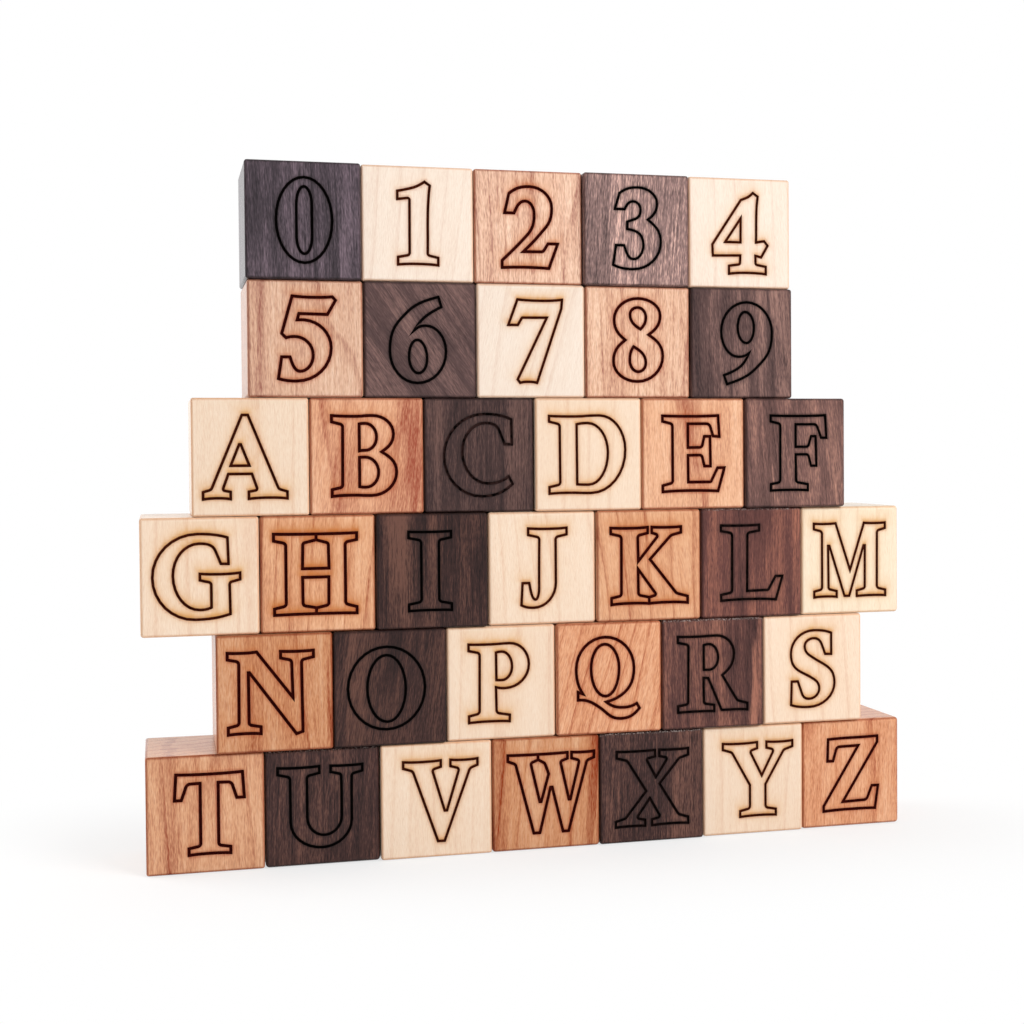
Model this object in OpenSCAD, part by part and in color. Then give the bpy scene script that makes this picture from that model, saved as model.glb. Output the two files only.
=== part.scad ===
// A set of hardwood alphabet and number blocks, stacked dry as a six-course wall.
// Every block is a solid cube-like offcut of one square stick, with its grain upright.
// Millimetres, +Z up. The marked faces look along -Y. Origin: under the middle of the wall.

/* [Block] */
// Width and depth of the square stick that the blocks are cut from
stick = 43.5; // [36:0.5:52]
// Length that each block is cut to, along its grain
cut_length = 44.5; // [36:0.5:54]
// Radius that the edges are eased to
edge_round = 1.2; // [0.5:0.1:3]

/* [Stacking] */
// Space between neighbours in one course
side_gap = 0.3; // [0.2:0.1:1.5]
// Space left between one course and the next
course_gap = 0.1; // [0.1:0.1:0.6]
// One step by which a block stands behind the foremost one
nudge = 1; // [0:0.25:2]

/* [Course starts] */
// Left end of the second course, from the left end of the first
start_2 = 26; // [8:1:34]
// Left end of the third course
start_3 = -1; // [-6:1:6]
// Left end of the fourth course
start_4 = 18; // [8:1:34]
// Left end of the fifth course
start_5 = 39; // [26:1:52]
// Left end of the top course
start_6 = 38.5; // [26:0.5:52]

/* [Hidden] */
$fn = 24;

// The marks on the blocks, course by course from the floor up, left to right
courses = ["tuvwxyz", "nopqrs", "ghijklm", "abcdef", "56789", "01234"];
starts = [0, start_2, start_3, start_4, start_5, start_6];

// How many nudges each block stands behind the foremost one
set_backs = [
  [3, 3, 2, 2, 2, 3, 4],
  [1, 1, 2, 1, 1, 2],
  [2, 2, 1, 2, 1, 1, 2],
  [2, 2, 2, 1, 1, 0],
  [2, 2, 2, 2, 1],
  [1, 3, 3, 1, 2]
];

// The three woods take turns along the order in which the set is counted
counting_order = "0123456789abcdefghijklmnopqrstuvwxyz";
woods = [[0.27, 0.19, 0.16], [0.93, 0.82, 0.65], [0.78, 0.51, 0.36]];

pitch_x = stick + side_gap;
pitch_z = cut_length + course_gap;
left_end = min(starts);
right_end = max([
  for (i = [0 : len(courses) - 1]) starts[i] + len(courses[i]) * pitch_x - side_gap
]);
depth = stick + nudge * max([for (course = set_backs) max(course)]);

function wood_of(mark) = woods[search(mark, counting_order)[0] % len(woods)];

// Outline of one face with its corners eased
module eased_face(width, height) {
  square([width - 2 * edge_round, height], center = true);
  square([width, height - 2 * edge_round], center = true);
  for (x = [-1, 1], y = [-1, 1])
    translate([x * (width / 2 - edge_round), y * (height / 2 - edge_round)])
      circle(edge_round);
}

// One block about its own middle: all twelve edges are eased
module eased_block() {
  intersection() {
    linear_extrude(cut_length, center = true)
      eased_face(stick, stick);
    rotate([90, 0, 0])
      linear_extrude(stick, center = true)
        eased_face(stick, cut_length);
    rotate([90, 0, 90])
      linear_extrude(stick, center = true)
        eased_face(stick, cut_length);
  }
}

// The block at one place in one course
module block(course, place) {
  x = starts[course] + place * pitch_x + stick / 2 - (left_end + right_end) / 2;
  y = nudge * set_backs[course][place] + stick / 2 - depth / 2;
  z = course * pitch_z + cut_length / 2;
  color(wood_of(courses[course][place]))
    translate([x, y, z])
      eased_block();
}

for (course = [0 : len(courses) - 1], place = [0 : len(courses[course]) - 1])
  block(course, place);
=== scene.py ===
# %% [markdown]
# # A wall of alphabet and number blocks
# Thirty-six hardwood blocks, each burnt with one letter or one digit, stand dry on top of each
# other in six courses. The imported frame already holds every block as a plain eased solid, so this
# lesson gives the blocks their looks: the burnt line, three woods, a pale table and soft light.

# %% The frame
import math
import random

import bmesh
import bpy
import numpy as np
from mathutils import Matrix, Vector


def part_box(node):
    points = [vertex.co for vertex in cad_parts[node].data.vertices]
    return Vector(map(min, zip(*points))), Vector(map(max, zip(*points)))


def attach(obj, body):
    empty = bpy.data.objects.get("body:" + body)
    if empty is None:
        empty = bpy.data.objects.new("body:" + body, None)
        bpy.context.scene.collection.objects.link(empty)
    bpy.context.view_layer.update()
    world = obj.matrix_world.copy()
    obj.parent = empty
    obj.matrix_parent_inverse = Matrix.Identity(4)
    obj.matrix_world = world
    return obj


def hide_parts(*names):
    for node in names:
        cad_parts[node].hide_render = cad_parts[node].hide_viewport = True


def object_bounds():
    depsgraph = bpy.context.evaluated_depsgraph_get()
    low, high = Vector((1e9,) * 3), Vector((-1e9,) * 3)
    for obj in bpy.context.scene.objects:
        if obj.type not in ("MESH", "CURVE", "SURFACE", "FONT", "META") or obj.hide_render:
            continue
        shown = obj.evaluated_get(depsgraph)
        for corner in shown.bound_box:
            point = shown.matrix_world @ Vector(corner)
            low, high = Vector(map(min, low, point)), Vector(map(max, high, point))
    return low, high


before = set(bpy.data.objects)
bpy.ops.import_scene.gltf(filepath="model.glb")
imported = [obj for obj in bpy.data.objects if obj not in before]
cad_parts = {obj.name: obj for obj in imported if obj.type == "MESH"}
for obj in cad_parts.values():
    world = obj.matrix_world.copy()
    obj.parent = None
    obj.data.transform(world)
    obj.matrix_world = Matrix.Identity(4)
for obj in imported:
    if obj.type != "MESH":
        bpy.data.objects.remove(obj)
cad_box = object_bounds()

MM = 0.001
scene = bpy.context.scene
print("blocks in the frame:", len(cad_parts))

# %% [markdown]
# ## The camera
# The wall is seen from a little to its left, at about half its height, from two thirds of a metre
# away. The lens is shifted a little, because the picture is a crop and the wall isn't in the
# middle of it. A turned lens would make the upright edges lean, and a shifted one doesn't.

# %% Camera
lens = bpy.data.cameras.new("camera")
lens.sensor_width = 36.0
lens.lens = 55.971
lens.shift_x, lens.shift_y = -0.06296, -0.02523
lens.clip_start, lens.clip_end = 0.01, 30.0
camera = bpy.data.objects.new("camera", lens)
camera.location = (-0.14727, -0.63132, 0.15780)
camera.rotation_euler = [math.radians(a) for a in (88.69997, 0.39919, -14.79678)]
scene.collection.objects.link(camera)
scene.camera = camera
print("camera at", [round(c, 3) for c in camera.location])

# %% [markdown]
# ## Wiring nodes
# Every finish below is a small graph of shader nodes. One helper adds a node, sets its switches and
# joins its sockets, so that a graph reads from top to bottom like a recipe.

# %% A helper for node graphs
def wire(tree, kind, sockets=None, **switches):
    """Adds a node. A socket takes a plain value or the output of another node."""
    node = tree.nodes.new(kind)
    for name, value in switches.items():
        setattr(node, name, value)
    for name, value in (sockets or {}).items():
        if isinstance(value, bpy.types.NodeSocket):
            tree.links.new(value, node.inputs[name])
        else:
            node.inputs[name].default_value = value
    return node


def sums(tree, operation, *values):
    """One Math node."""
    return wire(tree, "ShaderNodeMath", dict(enumerate(values)), operation=operation).outputs[0]


def fresh_tree(material):
    """The empty node tree of a material or a world."""
    material.use_nodes = True
    material.node_tree.nodes.clear()
    return material.node_tree


def looked_at(tree):
    """1 where the camera sees a surface itself or in a reflection, and 0 where it only lights."""
    path = wire(tree, "ShaderNodeLightPath").outputs
    mirrored = sums(tree, "MAXIMUM", path["Is Glossy Ray"], path["Is Transmission Ray"])
    return sums(tree, "MAXIMUM", path["Is Camera Ray"], mirrored)


print("helpers ready")

# %% [markdown]
# ## The table
# The blocks stand on a seamless white table. A plain white diffuse floor would turn grey away from
# the lamps, so the camera sees it as flat white, except round the foot of the wall. There a share
# of the lit surface comes through, which keeps the soft shadow of the blocks. That share grows
# towards the wall by distance alone, and the lit surface is darker than the flat white, so the grey
# band round the foot of the wall is painted shade as well as real shadow.

# %% Table
TABLE_SIZE = 6.0
FLOOR_DROP = 0.0002
SHADE_SHARE = 0.36
SHADE_REACH = 0.12

bed = bmesh.new()
bmesh.ops.create_grid(bed, x_segments=1, y_segments=1, size=TABLE_SIZE)
bmesh.ops.translate(bed, verts=bed.verts, vec=(0, 0, -FLOOR_DROP))
table_mesh = bpy.data.meshes.new("table")
bed.to_mesh(table_mesh)
bed.free()
table = bpy.data.objects.new("table", table_mesh)
scene.collection.objects.link(table)

white_table = bpy.data.materials.new("white_table")
tree = fresh_tree(white_table)
spot = wire(tree, "ShaderNodeTexCoord").outputs["Object"]
foot = (cad_box[1][0], cad_box[1][1], 1.0)
for operation, other in (("ABSOLUTE", None), ("SUBTRACT", foot), ("MAXIMUM", (0, 0, 0))):
    sockets = {0: spot} if other is None else {0: spot, 1: other}
    spot = wire(tree, "ShaderNodeVectorMath", sockets, operation=operation).outputs[0]
away = wire(tree, "ShaderNodeVectorMath", {0: spot}, operation="LENGTH").outputs["Value"]
# Painted shade: near the wall more of the darker lit surface is shown, so the floor greys round the
# foot of the wall by distance alone, on top of the real shadow it carries.
white_share = wire(tree, "ShaderNodeMapRange", {
    "Value": away, "From Min": 0.0, "From Max": SHADE_REACH,
    "To Min": 1.0 - SHADE_SHARE, "To Max": 1.0}, interpolation_type="SMOOTHSTEP").outputs[0]
lit = wire(tree, "ShaderNodeBsdfDiffuse", {"Color": (0.9, 0.9, 0.9, 1)})
flat = wire(tree, "ShaderNodeEmission", {"Color": (1, 1, 1, 1), "Strength": 1.0})
seen = sums(tree, "MULTIPLY", looked_at(tree), white_share)
both = wire(tree, "ShaderNodeMixShader", {0: seen, 1: lit.outputs[0], 2: flat.outputs[0]})
wire(tree, "ShaderNodeOutputMaterial", {"Surface": both.outputs[0]})
table_mesh.materials.append(white_table)
print("table", table_mesh.name)

# %% [markdown]
# ## Light
# The set was lit in a white tent: light from everywhere, more of it from the upper right, and less
# from the front left, where the tent is open for the camera. A white world that is dimmer on that
# side gives the even part. Two large soft lamps give the direction, which shows as pale right
# edges, dark left edges and bright outer ends of the courses. A lamp mirrored in a flat top would
# bleach it, so the lamps light the wood but don't show in its finish.

# %% World and lamps
AMBIENT = 0.66
OPENING = Vector((-0.62, -0.78, 0.05)).normalized()
OPENING_DIM = 0.7
OPENING_RIM, OPENING_MIDDLE = 0.25, 0.95
WALL_MIDDLE = (0, 0, 0.15)

world = bpy.data.worlds.new("white_tent")
scene.world = world
tree = fresh_tree(world)
way = wire(tree, "ShaderNodeTexCoord").outputs["Generated"]
facing = wire(tree, "ShaderNodeVectorMath", {0: way, 1: OPENING}, operation="DOT_PRODUCT")
tent = wire(tree, "ShaderNodeMapRange", {
    "Value": facing.outputs["Value"], "From Min": OPENING_RIM, "From Max": OPENING_MIDDLE,
    "To Min": AMBIENT, "To Max": AMBIENT * (1.0 - OPENING_DIM)}, interpolation_type="SMOOTHSTEP")
strength = wire(tree, "ShaderNodeMix", {0: looked_at(tree), 2: tent.outputs[0], 3: 1.0}).outputs[0]
sky = wire(tree, "ShaderNodeBackground", {"Color": (1, 1, 1, 1), "Strength": strength})
wire(tree, "ShaderNodeOutputWorld", {"Surface": sky.outputs[0]})


def softbox(name, place, aim, size, watts):
    """A square area lamp that looks at a point."""
    lamp = bpy.data.lights.new(name, "AREA")
    lamp.size = size
    lamp.energy = watts
    box = bpy.data.objects.new(name, lamp)
    box.location = place
    box.rotation_euler = (Vector(aim) - Vector(place)).to_track_quat("-Z", "Y").to_euler()
    box.visible_glossy = False
    scene.collection.objects.link(box)
    return box


softbox("key_softbox", (0.70, -0.95, 0.80), WALL_MIDDLE, 0.7, 13.0)
softbox("end_softbox", (-1.0, 0.45, 0.55), WALL_MIDDLE, 0.8, 8.0)
scene.view_settings.view_transform = "Standard"

# %% [markdown]
# ## Three woods
# Walnut, maple and cherry take turns through the set. Wood is a solid, so its figure isn't painted
# on the faces: each block carries the place that its points had in the tree, in millimetres from
# the middle of the trunk, as an attribute called log. Growth rings are then bands of distance from
# the trunk's middle, and fibres are noise drawn out along the trunk. The pattern runs over the
# eased edges and shows end grain on top, as it does on a sawn block. A recipe gives each wood its
# three tones, how strongly each part of the figure shows, and the tones and width of a burnt line.

# %% Wood recipe
# Each wood's edge tone is painted shade: it darkens the eased edges to stand in for the shadow in
# the joints between blocks.
WOODS = {
    "walnut": {
        "colours": ((26, 16, 17), (73, 49, 46), (130, 91, 79)),
        "ring": 0.12, "end_ring": 0.34, "ring_width": 6.0,
        "band": 0.44, "fibre": 0.30, "fleck": 0.36,
        "pore": 0.55, "pore_length": 7.0, "end": 0.80, "edge": (0.38, 0.31, 0.31), "rough": 0.50,
        "char": (3, 1, 1), "scorch": (38, 26, 24), "rim": (24, 15, 14), "line": 1.06 * MM,
    },
    "maple": {
        "colours": ((228, 184, 150), (242, 213, 184), (251, 231, 209)),
        "ring": 0.30, "end_ring": 0.34, "ring_width": 8.0,
        "band": 0.16, "fibre": 0.12, "fleck": 0.28,
        "pore": 0.12, "pore_length": 3.0, "end": 0.94, "edge": (0.87, 0.65, 0.51), "rough": 0.48,
        "char": (56, 20, 10), "scorch": (216, 163, 98), "rim": (180, 106, 60), "line": 1.06 * MM,
    },
    "cherry": {
        "colours": ((152, 72, 46), (217, 160, 121), (243, 202, 167)),
        "ring": 0.32, "end_ring": 0.36, "ring_width": 6.5,
        "band": 0.30, "fibre": 0.23, "fleck": 0.32,
        "pore": 0.30, "pore_length": 4.5, "end": 0.92, "edge": (0.52, 0.28, 0.21), "rough": 0.48,
        "char": (44, 7, 4), "scorch": (194, 121, 63), "rim": (152, 52, 30), "line": 1.20 * MM,
    },
}


def colour(red, green, blue):
    """A colour as it is read on a screen, made linear for the shader."""
    parts = [c / 255 for c in (red, green, blue)]
    return [c / 12.92 if c < 0.04045 else ((c + 0.055) / 1.055) ** 2.4 for c in parts] + [1.0]


def carried(tree, name, output="Vector"):
    """What a block carries at each of its points under a name."""
    return wire(tree, "ShaderNodeAttribute", attribute_name=name).outputs[output]


def drawn_noise(tree, position, across, along, detail=2.0, low=0.32, high=0.68):
    """Noise of so many millimetres across and along the trunk, spread to run from 0 to 1."""
    stretch = (1 / across, 1 / across, 1 / along)
    drawn = wire(tree, "ShaderNodeVectorMath", {0: position, 1: stretch}, operation="MULTIPLY")
    noise = wire(tree, "ShaderNodeTexNoise", {"Vector": drawn.outputs[0], "Scale": 1.0,
                                              "Detail": detail, "Roughness": 0.55})
    spread = wire(tree, "ShaderNodeMapRange", {"Value": noise.outputs[0], "From Min": low,
                                               "From Max": high})
    return spread.outputs[0]


def blended(tree, factor, under, over, blend="MIX"):
    """One Mix node for colours."""
    mix = wire(tree, "ShaderNodeMix", {0: factor, 6: under, 7: over},
               data_type="RGBA", blend_type=blend)
    return mix.outputs[2]


print("woods:", ", ".join(WOODS))

# %% [markdown]
# ## Figure, wear, scorch and painted edge shade
# Growth rings, broad bands, fine fibres, flecks and a vein of sapwood or heartwood are added up and
# read through a ramp of three tones. Pores are short dark dashes. End grain drinks more oil and is
# darker. The eased edges are darkened too, as painted shade that stands in for the shadow in the
# joints between blocks, while the top edges of some blocks are rubbed pale. The burning left a tan
# haze and a brown rim beside the lines, which come in as attributes. Fibres, flecks and pores also
# drive the roughness and a very fine bump. The finish is a thin satin oil.

# %% Growth rings
RING_WANDER = 9.0
RING_TONES = ((0.0, 0.65), (0.05, 0.90), (0.78, 0.82), (0.95, 0.00), (1.0, 0.65))


def growth_rings(tree, log, ring_width):
    """Pale early wood that darkens slowly to late wood, once for every year."""
    flat_log = wire(tree, "ShaderNodeVectorMath", {0: log, 1: (1, 1, 0)}, operation="MULTIPLY")
    distance = wire(tree, "ShaderNodeVectorMath", {0: flat_log.outputs[0]}, operation="LENGTH")
    wander = drawn_noise(tree, log, 38.0, 200.0, detail=1.0)
    wandered = sums(tree, "MULTIPLY_ADD", wander, RING_WANDER, distance.outputs["Value"])
    year = sums(tree, "FRACT", sums(tree, "DIVIDE", wandered, ring_width))
    shape = wire(tree, "ShaderNodeValToRGB", {"Fac": year})
    for spot, grey in RING_TONES:
        stop = shape.color_ramp.elements.new(spot)
        stop.color = (grey, grey, grey, 1)
    shape.color_ramp.elements.remove(shape.color_ramp.elements[-1])
    shape.color_ramp.elements.remove(shape.color_ramp.elements[0])
    return shape.outputs["Color"]


print("a year of growth goes through", len(RING_TONES), "tones")

# %% Edges and veins
HALF_STICK, HALF_LENGTH = 21.75, 22.25
EDGE_START, EDGE_FULL = -1.15, -0.3
VEIN_SWAY, VEIN_FRAY = 5.0, 1.6


def edge_nearness(tree, place):
    """1 on an eased edge and 0 a little way in, from the point's place in its block."""
    size = wire(tree, "ShaderNodeVectorMath", {0: place}, operation="ABSOLUTE").outputs[0]
    inset = wire(tree, "ShaderNodeVectorMath",
                 {0: size, 1: (HALF_STICK, HALF_STICK, HALF_LENGTH)}, operation="SUBTRACT")
    x, y, z = wire(tree, "ShaderNodeSeparateXYZ", {0: inset.outputs[0]}).outputs
    second = sums(tree, "MAXIMUM", sums(tree, "MINIMUM", x, y),
                  sums(tree, "MINIMUM", sums(tree, "MAXIMUM", x, y), z))
    near = wire(tree, "ShaderNodeMapRange", {"Value": second, "From Min": EDGE_START,
                                             "From Max": EDGE_FULL})
    return near.outputs[0]


def vein_of(tree, across, band, fibre):
    """A stripe of paler sapwood or darker heartwood: its middle, half its width and its depth."""
    vein = carried(tree, "vein")
    middle, half_width, depth = wire(tree, "ShaderNodeSeparateXYZ", {0: vein}).outputs
    wavy = sums(tree, "MULTIPLY_ADD", sums(tree, "SUBTRACT", band, 0.5), VEIN_SWAY, across)
    wavy = sums(tree, "MULTIPLY_ADD", sums(tree, "SUBTRACT", fibre, 0.5), VEIN_FRAY, wavy)
    gap = sums(tree, "ABSOLUTE", sums(tree, "SUBTRACT", wavy, middle))
    share = wire(tree, "ShaderNodeMapRange", {
        "Value": sums(tree, "DIVIDE", gap, half_width), "From Min": 0.55, "From Max": 1.15,
        "To Min": 1.0, "To Max": 0.0}, interpolation_type="SMOOTHSTEP")
    return sums(tree, "MULTIPLY", share.outputs[0], depth)


print("a stick is", 2 * HALF_STICK, "mm square")

# %% Wood material
END_CALM = 0.6
END_START = HALF_LENGTH - 0.9
BROW_START, BROW_FULL = HALF_LENGTH - 1.8, HALF_LENGTH - 0.5
RUBBED = (190, 178, 172)
RING_MEAN = 0.72
BUMP_DEPTH = 0.00012


def wood_material(name, recipe):
    """A sawn, sanded and oiled hardwood."""
    material = bpy.data.materials.new(name)
    tree = fresh_tree(material)
    log, place = carried(tree, "log"), carried(tree, "place")
    tone, scuff, streak = wire(tree, "ShaderNodeSeparateXYZ", {0: carried(tree, "stick")}).outputs
    warmth, hue, blotch = wire(tree, "ShaderNodeSeparateXYZ", {0: carried(tree, "batch")}).outputs
    across, _, height = wire(tree, "ShaderNodeSeparateXYZ", {0: place}).outputs
    end = wire(tree, "ShaderNodeMapRange", {"Value": sums(tree, "ABSOLUTE", height),
                                            "From Min": END_START,
                                            "From Max": HALF_LENGTH}).outputs[0]
    side_grain = sums(tree, "MULTIPLY_ADD", end, -END_CALM, 1.0)

    rings = growth_rings(tree, log, recipe["ring_width"])
    band = drawn_noise(tree, log, 8.0, 70.0, detail=2.5)
    fibre = drawn_noise(tree, log, 0.8, 26.0, detail=2.5)
    fleck = drawn_noise(tree, log, 0.34, 2.4, detail=1.5)
    more_on_end = recipe["end_ring"] - recipe["ring"]
    ring_share = sums(tree, "MULTIPLY_ADD", end, more_on_end, recipe["ring"])
    figure = sums(tree, "MULTIPLY_ADD", sums(tree, "SUBTRACT", rings, RING_MEAN), ring_share, 0.5)
    smoky = sums(tree, "MULTIPLY", sums(tree, "SUBTRACT", band, 0.5), blotch)
    fine = sums(tree, "MULTIPLY", sums(tree, "SUBTRACT", fibre, 0.5), streak)
    broad = sums(tree, "MULTIPLY_ADD", fine, recipe["fibre"],
                 sums(tree, "MULTIPLY", smoky, recipe["band"]))
    figure = sums(tree, "MULTIPLY_ADD", broad, side_grain, figure)
    flecks = sums(tree, "MULTIPLY", sums(tree, "SUBTRACT", fleck, 0.5), streak)
    figure = sums(tree, "MULTIPLY_ADD", flecks, recipe["fleck"], figure)
    figure = sums(tree, "ADD", figure, vein_of(tree, across, band, fibre))

    dark, middle, light = (colour(*c) for c in recipe["colours"])
    ramp = wire(tree, "ShaderNodeValToRGB", {"Fac": figure})
    ramp.color_ramp.elements[0].color = dark
    ramp.color_ramp.elements[1].color = light
    ramp.color_ramp.elements.new(0.5).color = middle
    wood = ramp.outputs["Color"]

    pores = drawn_noise(tree, log, 0.46, recipe["pore_length"], detail=1.0, low=0.57, high=0.68)
    open_pores = sums(tree, "MULTIPLY", pores, sums(tree, "MULTIPLY", streak, recipe["pore"]))
    wood = blended(tree, open_pores, wood, dark)
    wood = wire(tree, "ShaderNodeHueSaturation", {
        "Hue": hue, "Saturation": warmth, "Value": tone, "Color": wood}).outputs[0]

    end_tone = [recipe["end"]] * 3 + [1]
    wood = blended(tree, end, wood, blended(tree, 1.0, wood, end_tone, "MULTIPLY"))

    nearness = edge_nearness(tree, place)
    # Painted shade: the eased edges are darkened, standing in for the shadow in the joints between
    # blocks.
    edge_shade_tone = [*recipe["edge"], 1]
    wood = blended(tree, nearness, wood, blended(tree, 1.0, wood, edge_shade_tone, "MULTIPLY"))

    haze = drawn_noise(tree, log, 2.5, 5.0, detail=2.0, low=0.2, high=0.6)
    uneven = sums(tree, "MULTIPLY_ADD", haze, 0.5, 0.55)
    heat = sums(tree, "MULTIPLY", carried(tree, "scorch", "Fac"), uneven)
    wood = blended(tree, heat, wood, colour(*recipe["scorch"]))
    wood = blended(tree, carried(tree, "rim", "Fac"), wood, colour(*recipe["rim"]))

    rub = drawn_noise(tree, log, 0.7, 0.7, detail=3.0, low=0.48, high=0.66)
    brow = wire(tree, "ShaderNodeMapRange", {"Value": height, "From Min": BROW_START,
                                             "From Max": BROW_FULL})
    rub = sums(tree, "MULTIPLY", sums(tree, "MULTIPLY", rub, nearness),
               sums(tree, "MULTIPLY", brow.outputs[0], scuff))
    wood = blended(tree, rub, wood, colour(*RUBBED))

    skin = sums(tree, "MULTIPLY_ADD", fleck, 0.5, sums(tree, "MULTIPLY", pores, -0.6))
    bump = wire(tree, "ShaderNodeBump", {"Height": skin, "Strength": 0.4,
                                         "Distance": BUMP_DEPTH})
    rough = sums(tree, "MULTIPLY_ADD", fibre, 0.12, recipe["rough"] - 0.06)
    surface = wire(tree, "ShaderNodeBsdfPrincipled", {
        "Base Color": wood, "Roughness": rough, "Normal": bump.outputs[0],
        "Specular IOR Level": 0.08, "Coat Weight": 1.0, "Coat IOR": 1.21, "Coat Roughness": 0.24})
    wire(tree, "ShaderNodeOutputMaterial", {"Surface": surface.outputs[0]})
    return material


wood_finish = {name: wood_material(name, recipe) for name, recipe in WOODS.items()}
print("wood finishes:", sorted(wood_finish))

# %% [markdown]
# ## The burnt line
# Each mark is a line burnt 0.8 mm deep. Its walls and floor are char: nearly black in walnut, and a
# very dark red-brown in the two lighter woods. On a few walnut blocks the burn took badly and brown
# wood shows in the line, which comes in as an attribute again. Char has no shine.

# %% Char material
def char_material(name, recipe):
    """The burnt floor and walls of a line."""
    material = bpy.data.materials.new(name)
    tree = fresh_tree(material)
    log = carried(tree, "log")
    mottle = drawn_noise(tree, log, 1.1, 3.0, detail=2.0)
    black = colour(*recipe["char"])
    brown = colour(*(c * 1.3 + 4 for c in recipe["char"]))
    burnt = blended(tree, mottle, black, brown)
    missed = drawn_noise(tree, log, 1.8, 2.6, detail=2.0, low=0.36, high=0.56)
    bare = sums(tree, "MULTIPLY", missed, carried(tree, "faint", "Fac"))
    burnt = blended(tree, bare, burnt, colour(*recipe["colours"][1]))
    surface = wire(tree, "ShaderNodeBsdfPrincipled", {
        "Base Color": burnt, "Roughness": 0.9, "Specular IOR Level": 0.05})
    wire(tree, "ShaderNodeOutputMaterial", {"Surface": surface.outputs[0]})
    return material


char_finish = {name: char_material("char_on_" + name, r) for name, r in WOODS.items()}
print("char finishes:", sorted(char_finish))

# %% [markdown]
# ## Writing the marks down
# The marks are outline letters and digits of the plain slab-footed kind. Each outline is written as
# a row of stops in millimetres, across and up: 3,4 is a sharp corner, 3,4~1 a corner rounded to a
# radius of 1, 3,4- a smooth point whose line runs level there, 3,4| one whose line runs upright,
# and 3,4/20 one whose line climbs at 20 degrees. A semicolon starts the next outline, and one that
# starts with a plus sign is a single stroke that doesn't close.

# %% Digits
MARKS = {
    "0": "11,32.3- 21.5,16.2| 11,0.1- 0.5,16.2|;11,28.8- 13.9,22| 13.9,10| 11,3.5- 8.1,10| "
         "8.1,22|",
    "1": "0.6,28.5 6.5,29.9/16 11.2,32.3 13.2,30.9 12.3,14| 12.2,4.1~1.1 16.3,3.2 16.3,0.3 "
         "8.5,0.7- 0.7,0.3 0.7,3.2 5.2,4.1~1.1 5.3,26~0.8 0.6,25.4",
    "2": "3.3,29 11.5,31.9- 20.5,23.8| 15.5,13.2/50 8.9,6.4 16.9,6.5~1.5 18.9,9.7 22.8,9.7 "
         "19.2,0 9.5,0.3- 0.4,0 0.4,2.8 9,11.3/47 13.4,21.2| 9.8,26.2- 5.3,21.4 1.5,21.4",
    "3": "3.3,30.4 10.9,32.9- 18.9,26.8| 15,20.2 20.4,11.5| 8.5,0.4- 0.5,2 1.8,9.8 5.1,9.8 "
         "8.9,4.4- 13.1,10.2| 9.6,15.6/-20 6.4,16.3 6.5,19.2 9.6,20.3/20 12,24.2| 8.9,27.3- "
         "5.4,24.1 1.4,24.1",
    "4": "0.4,11.8 12.7,30 15.4,31.1/25 17.9,33 20,31.6 19.3,20| 19.2,13 22.7,13.6 24.2,11.8 "
         "21.4,7 18.9,7.6 19,4~0.8 23.4,3.2 23.4,0.2 15.5,0.6- 7.5,0.1 7.5,3.3 12.2,4~0.8 "
         "12.4,7.6 0.6,7.3;5.9,12.9 12.5,12.9 12.6,22.6",
    "5": "5.7,32.2 14,31.8- 20.8,32.1 22,30.8 18.9,25.4 8.2,25.6 7.5,23.2 10.5,23.2/-5 "
         "20.2,12.8| 7,0.1- 0.3,1 1.6,9.2 4.7,9.2 8.4,3.8- 13.4,10| 6.6,16.9- 3.3,16.4 1.7,18",
    "6": "19.6,32.8 20.7,29 14.6,25.3/38 10.2,20 14.6,21.7- 22.4,11.8| 11.2,-0.4- 0.6,11.8| "
         "7.8,27.2/45; 11.2,16.2- 15,9| 11.6,3.4- 8,9.8|",
    "7": "3.9,31.8 13,31.4- 21.9,31.9 21.6,28.4 11.6,-0.8 8,-0.4- 4.8,-0.8 3.8,0.5 15.7,24.8 "
         "5.7,24.7~0.6 4,21.8 0.2,21.8",
    "8": "11,33.6- 20.2,27| 15.3,19.2 21.2,10.8| 10.5,0.5- 0.6,8.5| 5.6,17 1,25|;10.8,30- "
         "14.2,26.2| 11.9,21.4 7.6,27.2|; 9,14.4 14.1,8| 10.9,4.4- 7.4,9|",
    "9": "11.5,32.7- 22.4,20.5| 15,5.6/44 2.9,-0.5 1.6,3.1 8.6,6.6/38 12.4,12.1 7.8,10.6- "
         "0.5,20.8|;10.8,28.8- 14.6,22.5| 11.3,16.2- 7.6,22.5|",
}
print("digits:", len(MARKS))

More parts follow.
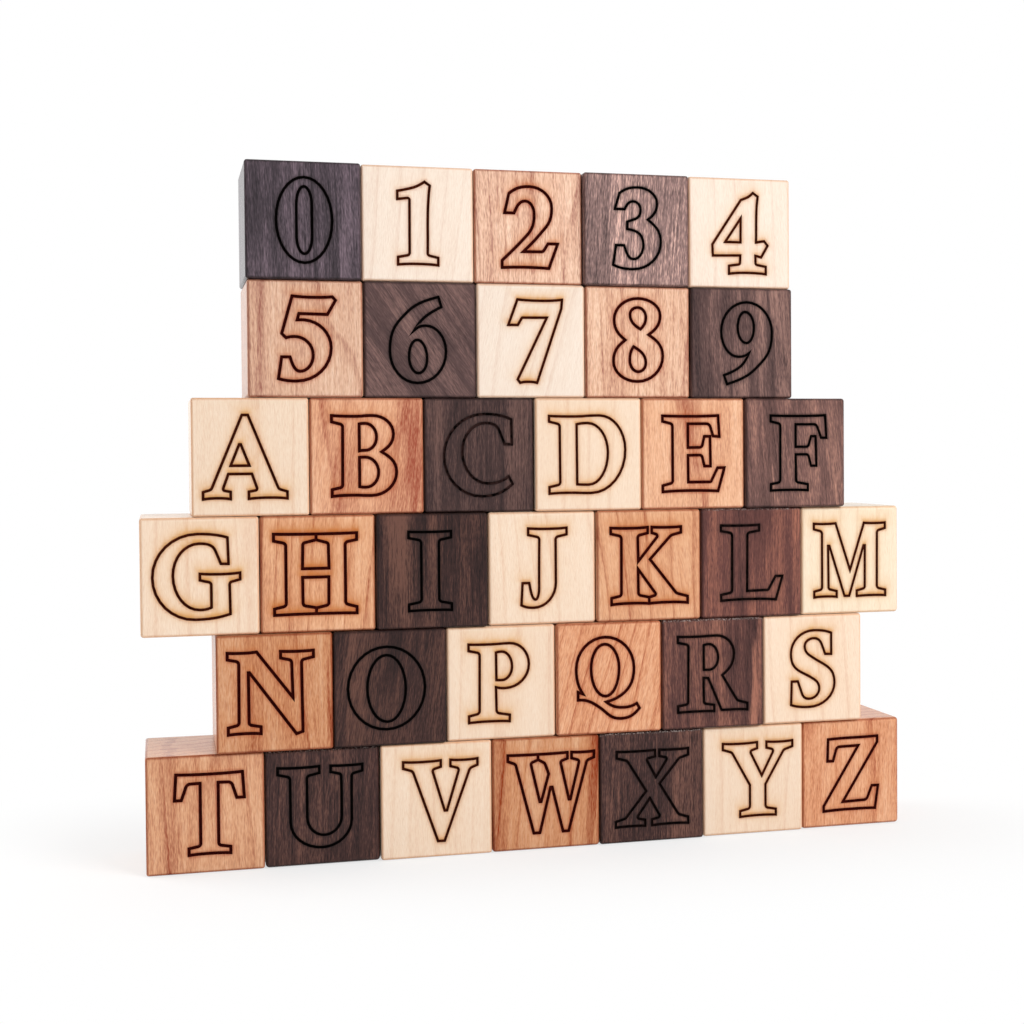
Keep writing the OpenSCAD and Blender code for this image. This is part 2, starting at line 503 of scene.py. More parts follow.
# %% Letters A to M
MARKS.update({
    "A": "0.5,0.1 0.5,2.8 3.5,3.7~1.6 15,31.6 17.2,31.6 28.4,3.7~1.6 31.6,2.7 31.6,0.1 "
         "24.5,0.5- 17.3,0.1 17.3,2.8 20.6,3.4~0.8 18.5,9.5 9.8,9.5 7.6,3.4~0.8 10.6,2.8 "
         "10.6,0.1 5.5,0.5-;10.7,12.6 17.6,12.6 14.5,20.6 13.9,20.6",
    "B": "0.4,31.4 9,31.1- 16,31.4- 24,24.4| 19.4,17.5 25.1,9.8| 15.5,0.8- 8,1- 0.4,0.6 0.4,3.2 "
         "4.4,4.1~1.2 4.6,27.9~1.2 0.4,29; 10.9,28.2 13.2,28.4- 17.5,23.2| 13.2,18.1- 10.9,17.9;"
         "10.9,15.4 13,15.5- 18.2,9.8| 13.4,4- 10.9,4.2",
    "C": "27.3,30 27.5,20.2 24.6,20.3 22.6,25.5/112 17,28.6- 7.8,17.4| 18,5- 26.2,7.7 27.7,4.7 "
         "15.6,0- 0.6,15.6| 16.6,32.1-",
    "D": "0.5,31.4 10,31.2- 21,31.6- 31.7,18| 17.5,0.9- 8,1.1- 0.5,0.8 0.5,3.4 4.9,4.4~1.2 "
         "4.8,28.1~1.2 0.5,29.2; 11.7,28.1 16.2,28.6- 24.5,17| 16.5,4.2- 11.8,4.4",
    "E": "0.3,31.4 12,31.2- 23.9,31.5 24.4,23 21.7,23.2 20.2,28.2~1.8 11,28.2 11,18.6 "
         "16.9,18.7~1.3 18,23.1 20.4,23.1 20.6,11.1 18,11.1 16.9,15.6~1.3 11,15.5 11.1,4.7 "
         "20.7,4.7~0.8 23.6,10.4 26.5,10.4 23.8,1 12,1.3- 0.3,0.9 0.3,3.4 4.5,4.5~1.2 "
         "4.5,28.1~1.2 0.3,29.2",
    "F": "0.3,31.4 12,31.2- 24.2,31.5 24.8,22.2 22.4,22.3 20.4,27.8~1.8 11.2,27.8 11.2,18.6 "
         "16.7,18.6~1.3 18,22.9 20,22.9 20.3,10.8 18,10.8 16.7,15.5~1.3 11.2,15.5 11.3,4.2~1.2 "
         "16.5,3.2 16.5,0.8 8.4,1- 0.3,0.8 0.3,3.4 4.4,4.2~1.2 4.5,28~1.2 0.3,29",
    "G": "27.8,30.3 28.1,20.4 25.3,20.5 23.4,25.3/112 17.4,28.2- 7.8,16.4| 17.5,3.4- 21.7,4.2 "
         "21.7,13.5~1.2 17.6,14.5 17.6,16.9 25,16.6- 32.3,17 32.3,14.5 28.4,13.5~1.2 28.6,1.6 "
         "15.8,-0.2- 0.4,15.8| 16.8,31.8-",
    "H": "0.3,31.2 16,31- 31.6,31.2 31.6,28.6 27.2,27.7~1.3 27.2,4.1~1.3 31.5,2.9 31.5,0.5 "
         "16,0.7- 0.4,0.5 0.4,2.9 4.8,3.9~1.3 4.8,27.6~1.3 0.3,28.6; 11,17.9 21,17.9 "
         "20.8,27.5~1 16.2,28.8 11.2,27.6~1; 11,14.6 20.9,14.6 20.8,3.9~1.2 16.3,2.9 "
         "11.1,3.9~1.2;+16.2,28.6 16.2,31; +16,0.7 16.2,2.8",
    "I": "0.4,31 8.7,30.8- 17,31 17,28.6 12.2,27.6~1.3 12.2,3.9~1.3 17.1,2.9 17.1,0.4 8.7,0.6- "
         "0.4,0.4 0.4,2.9 5.3,3.9~1.3 5.3,27.6~1.3 0.4,28.6",
    "J": "3.2,31.5 11,31.2- 18.8,31.5 18.8,28.9 14.3,27.9~1.3 14.3,10| 5.3,0.2- 0.3,1.3 0.8,10 "
         "3.5,10 6,3.4- 7.5,8| 7.7,27.9~1.3 3.2,28.9",
    "K": "0.4,31.6 8.5,31.4- 15.8,31.7 15.8,29.4 11.6,28.4~1.2 11.8,18.1 20.4,28.5~0.8 "
         "17.5,29.4 17.5,31.7 23.5,31.5- 29.8,31.7 29.8,29.4 25.6,28.3~2.5 16.7,18.8 27.8,4.9~2 "
         "32.5,3.6 32.5,1 24,1.4- 16.3,1.1 8.5,1.4- 0.6,1 0.6,3.6 4.7,4.5~1.2 4.8,28.2~1.2 "
         "0.4,29.3;11.7,15 19.4,4.5~0.6 16.3,3.6 11.8,4.6~1.2; +16.3,1.3 16.3,3.6",
    "L": "0.4,31.2 9,31- 16.9,31.2 16.9,28.9 11.8,28~1.3 11.6,4.3 20.8,4.5~0.8 24,10.1 27,10.1 "
         "24.1,0.5 12,1- 0.4,0.6 0.4,3 5.1,3.9~1.3 5.2,28~1.3 0.4,28.9",
    "M": "0.3,31.5 5,31.3- 10,31.5 16.4,12 22.7,31.5 27.5,31.3- 32.2,31.5 32.2,29.2 "
         "28.6,28.2~1.3 28.5,4.3~1.3 32.3,3.4 32.3,1.1 25.8,1.3- 19.4,1.1 19.4,3.4 23,4.3~1 "
         "23.1,22.1 22.5,22.1 16,1.3 13.9,1.3 7.2,22.2 6.6,22.2 6.8,4.3~1 10.4,3.4 10.4,1 "
         "5.3,1.3- 0.4,1 0.4,3.4 3.9,4.3~1.3 3.9,28.2~1.3 0.3,29.2",
})
print("marks so far:", len(MARKS))

# %% Letters N to Z
MARKS.update({
    "N": "0.2,31.3 5.5,31.1- 11,31.4 24.4,13.6 24,27.8~1.2 19.9,28.8 19.9,31.3 26,31.1- "
         "32.2,31.3 32.2,28.8 27.7,27.8~1.3 28,0.6 25.6,-0.2 8.3,23.7 7.9,23.7 8,4~1.1 12.4,3.1 "
         "12.4,0.5 6.4,0.8- 0.3,0.5 0.3,3.2 4.3,4.1~1.3 4.4,27.9~1.3 0.2,28.8",
    "O": "15.3,31.6- 30.2,15.7| 15.3,-0.2- 0.5,15.7|; 15.3,28.4- 22.7,15.5| 15.6,2.7- 7.9,15.7|",
    "P": "0,31.4 8,31.2- 16.5,31.4- 24.1,23| 14.5,13.8- 10.8,14.3 11,4.2~1.3 16.3,3.2 16.2,0.7 "
         "8,1- 0,0.7 0,3.3 4.2,4.2~1.3 4.4,27.9~1.3 0,28.9; 10.9,27.9 13.2,28.2- 17.3,22.3| "
         "13.2,17- 11,17.1",
    "Q": "12.4,32.5- 24.4,20| 17.5,8.2/28 12.8,6.6 19.8,4.1- 25.5,5.5 26.6,3.5 19,-0.3- "
         "10.5,4.2/-35 4.5,7.5/-15 1.2,7.8 1.2,11 3.2,10.2 0.5,20|; 12.2,29.7- 18.2,20| "
         "12.6,8.9- 6.6,20|",
    "R": "0,31.4 8,31.2- 16.5,31.4- 24,24| 18.9,15.2 25.4,4.6~2.2 29.7,3.4 29.7,0.7 24,1- "
         "18.6,1 12.9,14.2 10.9,14.4 11,4~1.1 15.4,3.2 15.4,0.7 7.5,0.9- 0,0.7 0,3.3 4.3,4~1.2 "
         "4.5,28~1.2 0,29; 11,27.6 13.3,28- 17.2,22.4| 13.3,17.6- 11,17.7",
    "S": "18.2,30.5 18.2,21.7 15.5,21.8 13.9,26/112 10.4,28.5- 6.4,25.3| 10.2,20.4/-33 "
         "15.2,17.4/-32 19.6,9.8| 8.2,0.1- 0.3,1.2 0.6,10.9 3.3,10.9 5.2,5.6/-70 8.3,3.5- "
         "12.8,7.6| 9.4,12.2/-32 4.4,14.9/-30 0.3,22.4| 10.4,31.8-",
    "T": "0.8,31.1 12.8,30.8- 25.2,31.1 25.8,21.4 23,21.4 21.1,27.4~1.8 16.2,27.5 16.2,3.8~1.2 "
         "20.6,3 20.6,0.6 13,0.9- 5.3,0.6 5.3,3.1 9.6,3.9~1.2 9.6,27.5 4.8,27.4~1.8 2.7,21.4 "
         "0.2,21.4",
    "U": "0.3,31.9 8.3,31.6- 16,31.9 16,29.3 11.3,28.3~1.3 11.3,12.5| 17.8,5.4- 24.4,12.5| "
         "24.3,28.4~1 20.3,29.4 20.3,31.8 26.3,31.6- 32.4,31.8 32.4,29.3 28.3,28.3~1.3 28.2,11| "
         "17,0.7- 5,11| 4.9,28.2~1.3 0.3,29.3",
    "V": "0.5,31.7 7.8,31.4- 15.2,31.7 15.2,29.2 11.8,28.2~1 16.6,12 17.5,12 22.5,28.2~1 "
         "19,29.2 19,31.7 24.5,31.4- 29.7,31.7 29.7,29.2 26.7,28~1.8 16.5,0.2 13.9,0.2 "
         "4.2,28~1.8 0.5,29.2",
    "W": "0.2,31.9 12.3,31.7- 24.4,31.9 24.4,29.5 21.5,28.5~0.9 24.9,13.2 25.5,13.2 "
         "29.3,28.5~0.9 26.1,29.5 26.1,31.9 30.8,31.7- 35.3,31.9 35.3,29.4 32.4,28.3~1.6 "
         "24.7,0.6 22.4,0.6 18.1,18.4 17.4,18.4 13,0.6 10.5,0.6 3.3,28.3~1.6 0.2,29.5;12.5,29.6 "
         "9.4,28.4~0.9 13,12.9 13.6,12.9 16.7,23.8 15.2,28~1.5; +12.4,29.6 12.4,31.8",
    "X": "0.9,30.6 9,30.4- 17,30.6 17,28 13.2,27.2~0.8 17.3,19.6 22.4,27.2~0.8 18.8,28 "
         "18.8,30.6 24.8,30.4- 31,30.6 31,28 27.2,26.8~1.6 18.8,16.9 26.8,4~2 30.9,2.7 30.9,0.2 "
         "23.2,0.5- 15.6,0.2 15.6,2.6 19.2,3.4~0.8 14.7,11.3 9,3.4~0.8 12.7,2.6 12.7,0.2 "
         "6.5,0.4- 0.4,0.2 0.4,2.5 4.4,3.6~1.6 13.2,14.2 5.3,26.8~2 0.9,28",
    "Y": "0.3,31.7 7.8,31.4- 15.2,31.7 15.2,29.2 12,28.2~0.9 17.2,17.9 22.6,28.3~0.9 19.3,29.2 "
         "19.3,31.7 25,31.4- 30.7,31.7 30.7,29.2 26.9,28~2 18.8,14.2 18.8,4.6~1.3 23.3,3.7 "
         "23.3,1.3 15.5,1.6- 7.7,1.3 7.7,3.7 12,4.6~1.3 12,14.2 4.2,28~2 0.3,29.2",
    "Z": "2.3,31.2 13,31.5- 24.5,31.7 24.5,29.2 8.8,4.8 19.6,5.1~1.8 22,10.9 24.8,10.9 23.4,1.4 "
         "12,1.6- 0.2,1.2 0.2,3.4 15.9,28.1 6.2,27.9~1.8 4.5,22.1 2,22.1",
})
print("marks in all:", len(MARKS))

# %% [markdown]
# ## From stops to a curve
# A flat Bezier curve draws smooth outlines from few points. A rounded corner becomes two points
# with the handles of a circular arc, a smooth point gets handles of 0.55 of the way to its
# neighbours, which draws quarter ellipses, and two corners in a row are joined by a straight side.

# %% Reading the stops
ARC = 0.5523
SLOPE_REACH = 0.36
LONE_REACH = 0.45


def read_stop(word):
    """One stop of an outline: its point, its kind and the number that goes with the kind."""
    kind = next((sign for sign in "~/" if sign in word), "")
    if kind:
        spot, amount = word.split(kind)
    else:
        kind = word[-1] if word[-1] in "-|" else ""
        spot, amount = word.rstrip("-|"), 0
    across, up = spot.split(",")
    return Vector((float(across), float(up))), kind, float(amount)


def rounded_corner(before, corner, after, radius):
    """The two ends of a corner's arc, as (point, handle) pairs."""
    back, on = before - corner, after - corner
    half = back.angle(on) / 2
    radius = min(radius, LONE_REACH * math.tan(half) * min(back.length, on.length))
    inset = radius / math.tan(half)
    pull = 4 / 3 * math.tan((math.pi / 2 - half) / 2) * radius
    return [(corner + way.normalized() * inset, corner + way.normalized() * (inset - pull))
            for way in (back, on)]


def reach(kind, amount, gap):
    """How far, and which way, a smooth stop's handle goes towards a neighbour."""
    if kind == "-":
        return Vector((ARC * gap.x, 0))
    if kind == "|":
        return Vector((0, ARC * gap.y))
    way = Vector((math.cos(math.radians(amount)), math.sin(math.radians(amount))))
    return way * math.copysign(SLOPE_REACH * gap.length, way.dot(gap))


def outline_points(text):
    """An outline's points, each with its handles; None is the handle of a straight side."""
    stops = [read_stop(word) for word in text.split()]
    points = []
    for i, (spot, kind, amount) in enumerate(stops):
        if kind == "~":
            before, after = stops[i - 1][0], stops[(i + 1) % len(stops)][0]
            near, far = rounded_corner(before, spot, after, amount)
            points.append({"at": near[0], "kind": "", "amount": 0, "left": None, "right": near[1]})
            points.append({"at": far[0], "kind": "", "amount": 0, "left": far[1], "right": None})
        else:
            points.append({"at": spot, "kind": kind, "amount": amount, "left": None, "right": None})
    for a, b in zip(points, points[1:] + points[:1]):
        if a["right"] is not None or not (a["kind"] or b["kind"]):
            continue
        gap = b["at"] - a["at"]
        start = a["at"] + reach(a["kind"], a["amount"], gap) if a["kind"] else None
        end = b["at"] - reach(b["kind"], b["amount"], gap) if b["kind"] else None
        a["right"] = start if start else a["at"].lerp(end, LONE_REACH)
        b["left"] = end if end else b["at"].lerp(start, LONE_REACH)
    return points


print("stops in A:", len(outline_points(MARKS["A"].split(";")[0])))

# %% [markdown]
# ## From a curve to a groove
# A flat curve that is extruded is a thin upright wall. Solidify gives the wall the width of the
# burnt line, and a Boolean cuts it out of the block's front face, so the groove has a real floor
# and walls. The cutter's faces carry the second material, so the groove comes out charred.

# %% Walls of one mark
LINE_DEPTH = 0.8 * MM
WALL_HALF = 0.5 * MM


def mark_wall(text):
    """An upright wall along one outline, flat on the XY plane."""
    single = text.startswith("+")
    points = outline_points(text.lstrip("+"))
    curve = bpy.data.curves.new("outline", "CURVE")
    curve.dimensions, curve.fill_mode = "2D", "NONE"
    curve.extrude, curve.resolution_u = WALL_HALF, 8
    spline = curve.splines.new("BEZIER")
    spline.bezier_points.add(len(points) - 1)
    spline.use_cyclic_u = not single
    for bead, point in zip(spline.bezier_points, points):
        bead.co = (*point["at"] * MM, 0)
        for side in ("left", "right"):
            handle = point[side]
            setattr(bead, f"handle_{side}_type", "FREE" if handle else "VECTOR")
            if handle:
                setattr(bead, f"handle_{side}", (*handle * MM, 0))
    holder = bpy.data.objects.new("outline", curve)
    wall = bpy.data.meshes.new_from_object(holder)
    bpy.data.objects.remove(holder)
    bpy.data.curves.remove(curve)
    return wall


def wall_lines(wall):
    """The wall's lower edges as an array of flat line pieces."""
    spots = np.array([v.co[:] for v in wall.vertices])
    ends = np.array([e.vertices[:] for e in wall.edges])
    low = (spots[ends][:, :, 2] < 0).all(axis=1)
    return spots[ends[low]][:, :, :2]


print("line pieces round an O:", [len(wall_lines(mark_wall(t))) for t in MARKS["O"].split(";")])

# %% [markdown]
# ## One block
# A block starts as a cube, scaled to the box of its solid and eased along its twelve edges with a
# bevel. The easing is done by hand on a sander, so its radius differs a little from block to block.
# The front is then cut into cells of about a millimetre, so that the tan haze beside the lines has
# points to live on.

# %% Eased blank
EDGE_ROUNDS = (0.9 * MM, 1.4 * MM)
EDGE_STEPS = 4
FRONT_BORDER = 0.4 * MM
CELLS = 40


def eased_blank(name, low, high, edge_round):
    """A block before it is marked."""
    blank = bmesh.new()
    bmesh.ops.create_cube(blank, size=1.0)
    bmesh.ops.scale(blank, verts=blank.verts, vec=high - low)
    bmesh.ops.translate(blank, verts=blank.verts, vec=(low + high) / 2)
    eased = bmesh.ops.bevel(blank, geom=blank.edges[:], offset=edge_round, offset_type="OFFSET",
                            segments=EDGE_STEPS, profile=0.5, affect="EDGES", material=-1)
    for face in eased["faces"]:
        face.smooth = True
    front = min(blank.faces, key=lambda face: face.calc_center_median().y)
    bmesh.ops.inset_region(blank, faces=[front], thickness=FRONT_BORDER, use_even_offset=True)
    bmesh.ops.subdivide_edges(blank, edges=front.edges[:], cuts=CELLS - 1, use_grid_fill=True)
    mesh = bpy.data.meshes.new(name)
    blank.to_mesh(mesh)
    blank.free()
    block = bpy.data.objects.new(name, mesh)
    scene.collection.objects.link(block)
    return block


print("edges eased to", [round(r / MM, 1) for r in EDGE_ROUNDS], "mm")

# %% Cutting the mark
def cut_mark(block, walls, placing, line_width):
    """Cuts a wall's line into the block's front and leaves the cut as plain mesh."""
    cutters = []
    for wall in walls:
        wall.polygons.foreach_set("material_index", [1] * len(wall.polygons))
        cutter = bpy.data.objects.new("cutter", wall)
        cutter.matrix_world = placing
        scene.collection.objects.link(cutter)
        thick = cutter.modifiers.new("line", "SOLIDIFY")
        thick.thickness, thick.offset = line_width, 0.0
        thick.use_even_offset = thick.use_quality_normals = True
        cut = block.modifiers.new("cut", "BOOLEAN")
        cut.object, cut.operation, cut.solver = cutter, "DIFFERENCE", "EXACT"
        cut.use_self = True
        cutters.append(cutter)
    bpy.context.view_layer.update()
    done = block.evaluated_get(bpy.context.evaluated_depsgraph_get())
    marked = bpy.data.meshes.new_from_object(done)
    block.modifiers.clear()
    plain, block.data = block.data, marked
    bpy.data.meshes.remove(plain)
    for cutter in cutters:
        wall = cutter.data
        bpy.data.objects.remove(cutter)
        bpy.data.meshes.remove(wall)


print("lines are", LINE_DEPTH / MM, "mm deep")

# %% [markdown]
# ## Closing the groove
# Where a wall turns sharply its two sides cross, and the cut leaves slivers and folded scraps.
# They could be hunted one by one. It is surer to weld the slivers, fill what is missing from the
# walls, take the groove's floor out and lay it anew as one sheet. Each block is then one closed
# solid.

# %% One sheet for the floor
WELD_GAP = 0.005 * MM
LEVEL_GAP = 0.002 * MM


def drop_loose(cut):
    """Takes out edges and points that carry no face."""
    bmesh.ops.delete(cut, geom=[e for e in cut.edges if not e.link_faces], context="EDGES")
    bmesh.ops.delete(cut, geom=[v for v in cut.verts if not v.link_edges], context="VERTS")


def open_edges(cut):
    """The edges with a face on one side only."""
    return [e for e in cut.edges if e.is_boundary]


def close_groove(mesh, floor):
    """Makes a marked block one closed solid, with its groove's floor at the given depth."""
    cut = bmesh.new()
    cut.from_mesh(mesh)
    bmesh.ops.remove_doubles(cut, verts=cut.verts, dist=WELD_GAP)
    bmesh.ops.dissolve_degenerate(cut, dist=WELD_GAP, edges=cut.edges)
    drop_loose(cut)
    for patch in bmesh.ops.holes_fill(cut, edges=open_edges(cut), sides=0)["faces"]:
        deep = any(v.co.y > floor - LINE_DEPTH / 2 for v in patch.verts)
        patch.material_index = 1 if deep else 0

    def on_floor(part):
        return all(abs(v.co.y - floor) < LEVEL_GAP for v in part.verts)

    bmesh.ops.delete(cut, geom=[f for f in cut.faces if on_floor(f)], context="FACES")
    drop_loose(cut)
    foot = [e for e in open_edges(cut) if on_floor(e)]
    laid = bmesh.ops.triangle_fill(cut, edges=foot, use_beauty=True, normal=(0, -1, 0))
    for face in laid["geom"]:
        if isinstance(face, bmesh.types.BMFace):
            face.material_index = 1
    bmesh.ops.recalc_face_normals(cut, faces=cut.faces)
    cut.to_mesh(mesh)
    cut.free()


print("slivers under", WELD_GAP / MM, "mm are welded")

# %% [markdown]
# ## Heat beside the lines
# The burner's smoke rises while it works, so the tan haze is strongest just above the level parts
# of a line, and only a thin halo lies round the rest. A narrow brown rim follows the line itself.
# How strong the haze is depends on the block.

# %% Scorch and the place in the tree
SMOKE_REACH = 2.3 * MM
HALO_REACH = 1.3 * MM
HALO_SHARE = 0.42
INSIDE_SHARE = 0.07
RIM_REACH = 0.35 * MM
RIM_SHARE = 0.6


def scorch_round(points, lines, line_width):
    """How much smoke, and how much of the burnt rim, each point of the front has."""
    start, along = lines[:, 0], lines[:, 1] - lines[:, 0]
    length = np.maximum(np.linalg.norm(along, axis=1), 1e-9)
    offset = points[:, None, :] - start[None]
    run = np.clip((offset * along).sum(axis=2) / length ** 2, 0, 1)
    gap = offset - run[:, :, None] * along
    distance = np.maximum(np.linalg.norm(gap, axis=2), 1e-7)
    level = np.abs(along[:, 0]) / length
    above = np.clip(gap[:, :, 1] / distance, 0, 1)
    free = np.maximum(distance - line_width / 2, 0)
    heat = level * above * np.exp(-free / SMOKE_REACH) + HALO_SHARE * np.exp(-free / HALO_REACH)
    left, right = lines[:, :, 0].min(axis=1), lines[:, :, 0].max(axis=1)
    under = (points[:, :1] > left) & (points[:, :1] <= right) & (gap[:, :, 1] < 0)
    rim = RIM_SHARE * np.exp(-free.min(axis=1) / RIM_REACH)
    return heat.max(axis=1) + INSIDE_SHARE * (under.sum(axis=1) % 2), rim


def in_the_tree(place, lean, turn, pith, height):
    """Where points of a block, in millimetres from its middle, were in the trunk."""
    swing = Matrix.Rotation(turn, 3, "Z") @ Matrix.Rotation(lean, 3, "Y")
    return place @ np.array(swing).T + np.array([pith, 0.0, height])


print("smoke reaches about", SMOKE_REACH / MM, "mm")

# %% [markdown]
# ## The set
# The woods take turns through the counting order 0 to 9, then A to Z. Each block came from another
# place in its stick, so tone, streaks, veins, rubbed edges and smoke differ from block to block.
# The
# tones also hold painted light: walnut blocks towards the top and right of the wall, where the haze
# of light lies, are set lighter than those to the left.
# What a block is known by is listed, such as the diagonal grain of the 6, the pale streaks of
# the 3 or the faint burn of the C. The rest comes from a seeded random, which gives the same set on
# every run. A stick's three numbers are its tone, the warmth of its colour and its hue.

# %% Character of the blocks
COUNTING = "0123456789ABCDEFGHIJKLMNOPQRSTUVWXYZ"
WOOD_TURNS = ("walnut", "maple", "cherry")
SIDE_STEP = dict(zip(COUNTING, (
    0.3, 0, 0.5, 0, 0.2, 0.5, -1, 1.7, 0, 2,
    -2, -1.1, -0.5, -0.5, 0, 1.3, -1.3, -1, -1, 0.7, 0.08, 0, -0.1,
    -1.5, -1.5, -1, -0.7, -0.3, 0, 1.5, -1, 1.5, 2, 0, 2, 0)))
RISE = {"8": 0.9, "3": 0.6, "1": 0.3, "X": -0.6, "Z": -0.4, "V": -0.4,
        "B": 0.1, "K": -0.08}
SMOKE = {"G": 0.85, "S": 0.7, "H": 1.0, "A": 0.7, "D": 0.55, "P": 0.75, "M": 0.7, "7": 0.7,
         "K": 0.6, "J": 0.6, "Y": 0.6, "V": 0.6, "4": 0.5, "2": 0.5, "B": 0.4, "N": 0.4, "5": 0.4,
         "1": 0.2, "Q": 0.2}
USUAL_SMOKE = 0.25
LEAN = {"6": 34.0, "3": -4.0, "1": -6.0, "7": -12.0, "O": -8.0, "Q": -14.0, "B": -6.0, "F": 5.0,
        "9": 4.0, "K": 6.0}
STREAK = {"3": 1.05, "6": 0.55, "0": 0.9, "2": 1.3, "8": 1.2, "K": 0.7, "F": 0.7, "L": 0.6,
          "9": 0.75, "C": 0.8, "R": 0.8}
BLOTCH = {"3": 0.4, "6": 0.7, "I": 1.2, "B": 1.1, "5": 0.9, "W": 1.4, "O": 1.0, "9": 1.3, "C": 0.8}
VEIN = {"I": (-15, 8, 0.36), "L": (-17, 2.5, 0.12), "R": (18, 2.2, 0.36), "W": (18, 2.0, -0.30),
        "5": (-17, 6, -0.18), "B": (15, 6, -0.12), "0": (18, 5, 0.12), "X": (16, 6, 0.14),
        "C": (16, 7, 0.12), "O": (-12, 4, 0.20), "F": (-12, 4, -0.18), "9": (17, 5, 0.20),
        "3": (-16, 7, -0.12), "T": (-13, 2.5, -0.20), "G": (17, 3, -0.20), "U": (8, 3, 0.10)}
NO_VEIN = (0, 1, 0)
SCUFF = {"L": 0.8, "R": 0.8, "X": 0.9, "U": 0.6}
FAINT = {"C": 0.5, "L": 0.2, "X": 0.12, "R": 0.12}
# Painted light: the walnut tones are partly the wood's own and partly painted light, higher on
# blocks towards the top and right of the wall, where the haze of light lies.
STICKS = {
    "walnut": {
        "ashen": (4.40, 0.74, 0.507), "pale": (2.58, 0.97, 0.507), "warm": (1.74, 0.85, 0.502),
        "dull": (1.48, 0.79, 0.497), "red": (2.08, 1.17, 0.501), "brown": (1.66, 1.11, 0.501),
        "cool": (0.93, 0.44, 0.385), "heart": (0.63, 1.04, 0.500), "dark": (0.89, 1.02, 0.500),
        "dusky": (0.83, 0.86, 0.497),
    },
    "maple": {
        "pale": (0.94, 0.66, 0.500), "butter": (0.96, 0.84, 0.514), "cream": (0.95, 0.90, 0.500),
        "dim": (0.90, 0.90, 0.500),
    },
    "cherry": {
        "bright": (1.06, 0.78, 0.500), "pale": (1.00, 0.84, 0.500), "light": (1.04, 0.94, 0.500),
        "fair": (1.00, 1.00, 0.500), "rosy": (1.01, 0.97, 0.497), "tan": (0.95, 0.82, 0.500),
        "dusk": (0.98, 0.99, 0.500), "red": (0.98, 1.05, 0.495), "deep": (0.85, 1.08, 0.497),
    },
}
STICK_OF = {"0": "cool", "1": "pale", "2": "bright", "3": "ashen", "4": "pale", "5": "tan",
            "6": "dull", "7": "pale", "8": "pale", "9": "warm", "A": "dim", "B": "rosy",
            "C": "dusky", "D": "dim", "E": "light", "F": "pale", "I": "heart", "L": "red",
            "M": "butter", "N": "deep", "O": "heart", "Q": "red", "R": "brown", "T": "dusk",
            "W": "deep", "Z": "red"}
USUAL = {"walnut": "dark", "maple": "cream", "cherry": "fair"}
chance = random.Random(36)
print("smokiest blocks:", sorted(SMOKE, key=SMOKE.get)[-3:])

# %% What a block carries
def set_attribute(mesh, name, kind, values):
    """Stores one value for each point of a mesh, or the same one for all of them."""
    layer = mesh.attributes.new(name, kind, "POINT")
    if kind == "FLOAT":
        layer.data.foreach_set("value", np.broadcast_to(values, len(mesh.vertices)).ravel())
    else:
        layer.data.foreach_set("vector", np.broadcast_to(values, (len(mesh.vertices), 3)).ravel())


def set_figure(mesh, place, mark, wood):
    """Says where in the tree the block was cut, and what its stick was like."""
    lean = math.radians(LEAN.get(mark, chance.uniform(-2.5, 2.5)))
    turn, pith = chance.uniform(-math.pi, math.pi), chance.uniform(55, 120)
    log = in_the_tree(place, lean, turn, pith, chance.uniform(0, 3000))
    tone, warmth, hue = STICKS[wood][STICK_OF.get(mark, USUAL[wood])]
    stick = (tone * chance.uniform(0.97, 1.03), SCUFF.get(mark, 0.0),
             STREAK.get(mark, chance.uniform(0.8, 1.1)))
    batch = (warmth, hue, BLOTCH.get(mark, chance.uniform(0.7, 1.2)))
    set_attribute(mesh, "place", "FLOAT_VECTOR", place)
    set_attribute(mesh, "log", "FLOAT_VECTOR", log)
    set_attribute(mesh, "stick", "FLOAT_VECTOR", stick)
    set_attribute(mesh, "vein", "FLOAT_VECTOR", VEIN.get(mark, NO_VEIN))
    set_attribute(mesh, "batch", "FLOAT_VECTOR", batch)


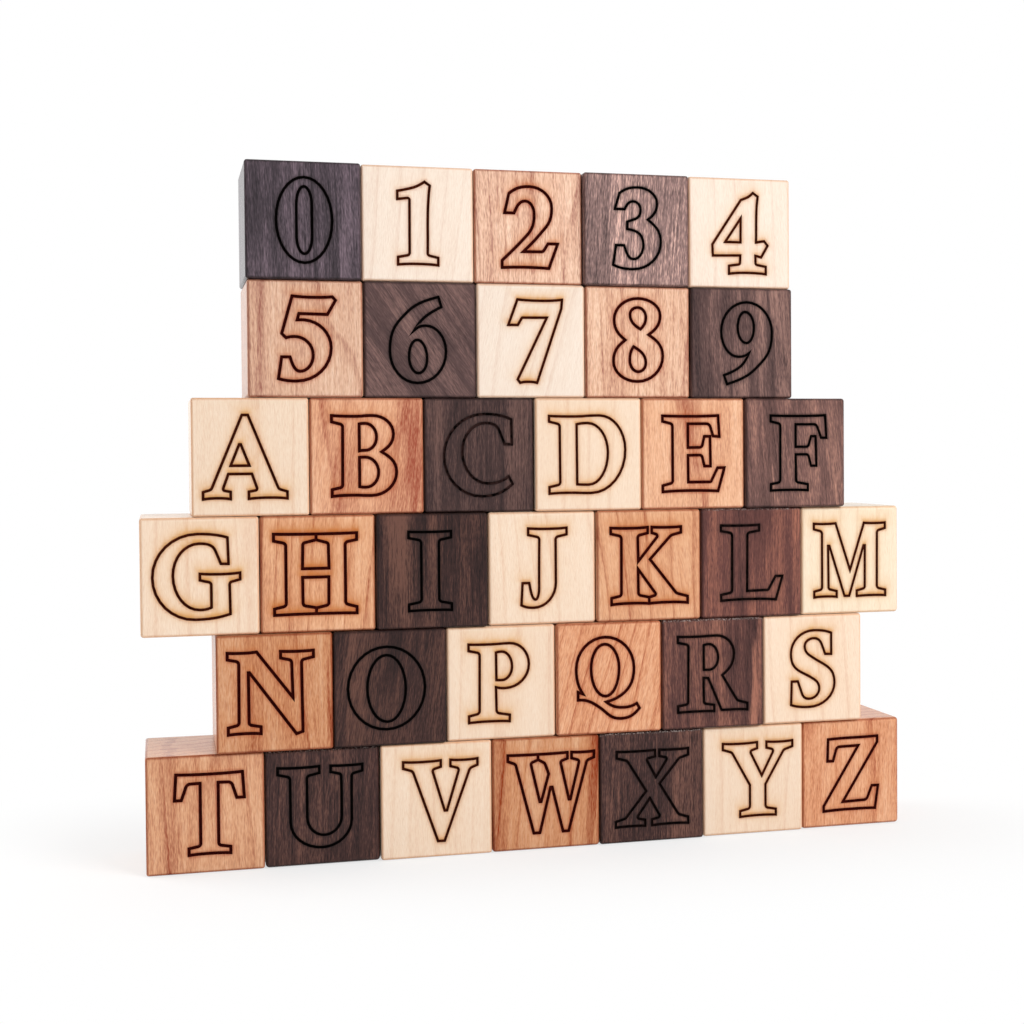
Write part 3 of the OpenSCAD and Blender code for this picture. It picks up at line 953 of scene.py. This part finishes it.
def set_heat(mesh, flat, front, lines, mark, wood):
    """Says how much smoke and burnt rim the points of the front have, and how faint the burn is."""
    heat, rim = np.zeros(len(flat)), np.zeros(len(flat))
    heat[front], rim[front] = scorch_round(flat[front], lines, WOODS[wood]["line"])
    smoke = SMOKE.get(mark, USUAL_SMOKE) if wood != "walnut" else 0.0
    set_attribute(mesh, "scorch", "FLOAT", np.clip(heat * smoke, 0, 1))
    set_attribute(mesh, "rim", "FLOAT", rim)
    set_attribute(mesh, "faint", "FLOAT", FAINT.get(mark, 0.0))


print("sticks:", sum(len(kinds) for kinds in STICKS.values()))

# %% Making all the blocks
UPRIGHT = Matrix.Rotation(math.radians(90), 4, "X")
FRONT_MARGIN = 1.1


def make_block(mark, wood):
    """One marked block in its place in the wall."""
    node = "block_" + mark.lower()
    low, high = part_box(node)
    middle = (low + high) / 2
    block = eased_blank("marked_" + node, low, high, chance.uniform(*EDGE_ROUNDS))
    block.data.materials.append(wood_finish[wood])
    block.data.materials.append(char_finish[wood])
    walls = [mark_wall(text.strip()) for text in MARKS[mark].split(";")]
    lines = np.concatenate([wall_lines(wall) for wall in walls])
    spots = lines.reshape(-1, 2)
    centre = (spots.min(axis=0) + spots.max(axis=0)) / 2
    spot = Vector((middle.x + SIDE_STEP[mark] * MM, low.y + LINE_DEPTH - WALL_HALF,
                   middle.z + RISE.get(mark, 0) * MM))
    slide = Matrix.Translation((-centre[0], -centre[1], 0))
    cut_mark(block, walls, Matrix.Translation(spot) @ UPRIGHT @ slide, WOODS[wood]["line"])
    close_groove(block.data, low.y + LINE_DEPTH)

    points = np.array([v.co[:] for v in block.data.vertices])
    set_figure(block.data, (points - np.array(middle)) / MM, mark, wood)
    flat = points[:, [0, 2]] - np.array([spot.x, spot.z]) + centre
    front = points[:, 1] < low.y + LINE_DEPTH * FRONT_MARGIN
    set_heat(block.data, flat, front, lines, mark, wood)

    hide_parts(node)
    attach(block, node)
    return block


blocks = [make_block(mark, WOOD_TURNS[i % 3]) for i, mark in enumerate(COUNTING)]
print("blocks made:", len(blocks), "with", sum(len(b.data.polygons) for b in blocks), "faces")
